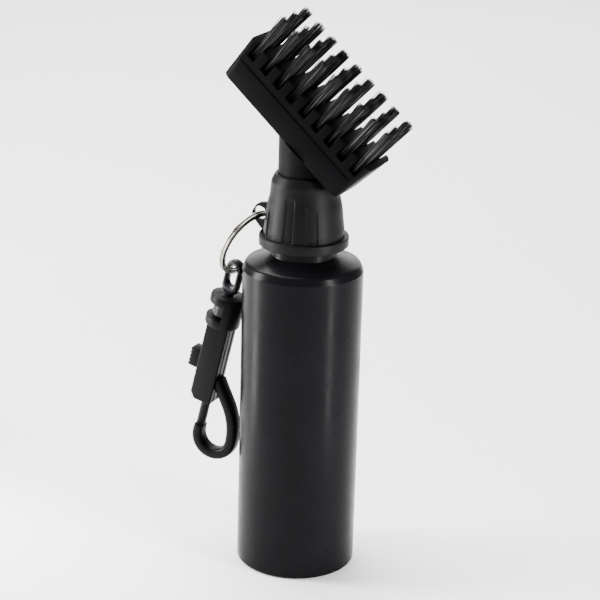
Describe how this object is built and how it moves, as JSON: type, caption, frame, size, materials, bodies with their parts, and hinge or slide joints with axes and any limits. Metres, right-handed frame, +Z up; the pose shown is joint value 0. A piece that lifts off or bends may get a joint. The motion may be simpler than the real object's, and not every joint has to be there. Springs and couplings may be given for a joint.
{
  "type": "golf club groove brush with water bottle",
  "caption": "Squeeze water bottle with an angled bristle head on its screw cap for scrubbing golf club grooves, hung by a split ring and swivel snap hook",
  "frame": {"origin": "centre of the bottle's flat base, on the surface the object stands on", "axes": "+Z up along the bottle's axis, +X the way the bristles lean, the hook hangs on the -X side, Y across, right-handed"},
  "size_m": [0.0746, 0.04, 0.1886],
  "materials": {
    "bottle_plastic": "satin",
    "cap_plastic": "satin",
    "head_plastic": "matte",
    "washer_rubber": "matte",
    "bristle_nylon": "satin",
    "anchor_steel": "plain",
    "ring_nickel": "polished",
    "hook_metal": "gloss",
    "spring_steel": "plain"
  },
  "bodies": {
    "bottle": {"bottle": "bottle_plastic"},
    "washer": {"sealing_washer": "washer_rubber"},
    "head": {"screw_cap": "cap_plastic", "neck_stem": "head_plastic", "brush_block": "head_plastic", "tuft_anchors": "anchor_steel", "tuft_1_near": "bristle_nylon", "tuft_1_middle": "bristle_nylon", "tuft_1_far": "bristle_nylon", "tuft_2_near": "bristle_nylon", "tuft_2_middle": "bristle_nylon", "tuft_2_far": "bristle_nylon", "tuft_3_near": "bristle_nylon", "tuft_3_middle": "bristle_nylon", "tuft_3_far": "bristle_nylon", "tuft_4_near": "bristle_nylon", "tuft_4_middle": "bristle_nylon", "tuft_4_far": "bristle_nylon", "tuft_5_near": "bristle_nylon", "tuft_5_middle": "bristle_nylon", "tuft_5_far": "bristle_nylon", "tuft_6_near": "bristle_nylon", "tuft_6_middle": "bristle_nylon", "tuft_6_far": "bristle_nylon", "tuft_7_near": "bristle_nylon", "tuft_7_middle": "bristle_nylon", "tuft_7_far": "bristle_nylon", "tuft_8_near": "bristle_nylon", "tuft_8_middle": "bristle_nylon", "tuft_8_far": "bristle_nylon", "tuft_9_near": "bristle_nylon", "tuft_9_middle": "bristle_nylon", "tuft_9_far": "bristle_nylon"},
    "ring": {"split_ring": "ring_nickel"},
    "eye": {"swivel_eye": "hook_metal"},
    "hook": {"hook_body": "hook_metal", "bolt_spring": "spring_steel"},
    "bolt": {"gate_bolt": "hook_metal", "thumb_knob": "hook_metal"}
  },
  "joints": [
    {"name": "cap_lift", "type": "slide", "parent": "bottle", "child": "washer", "axis": [0, 0, 1], "range_m": [0, 0.0048]},
    {"name": "cap_turn", "type": "hinge", "parent": "washer", "child": "head", "pos_m": [0, 0, 0.12], "axis": [0, 0, 1], "range_deg": [0, 540]},
    {"name": "ring_swing", "type": "hinge", "parent": "head", "child": "ring", "pos_m": [-0.0156, 0, 0.1203], "axis": [0.2213, 0.9703, -0.0977], "range_deg": [0, 90]},
    {"name": "eye_swing", "type": "hinge", "parent": "ring", "child": "eye", "pos_m": [-0.025, 0, 0.099], "axis": [0.2213, 0.9703, -0.0977], "range_deg": [0, 80]},
    {"name": "hook_swivel", "type": "hinge", "parent": "eye", "child": "hook", "pos_m": [-0.025, 0, 0.099], "axis": [0.2284, 0, 0.9736], "continuous": true},
    {"name": "bolt_slide", "type": "slide", "parent": "hook", "child": "bolt", "axis": [0.2284, 0, 0.9736], "range_m": [0, 0.008], "stiffness_N_per_m": 200, "springref_m": -0.006, "deforming": ["bolt_spring"]}
  ],
  "couplings": [
    {"joint": "cap_lift", "follows": "cap_turn", "m_per_rad": 0.00050532}
  ]
}
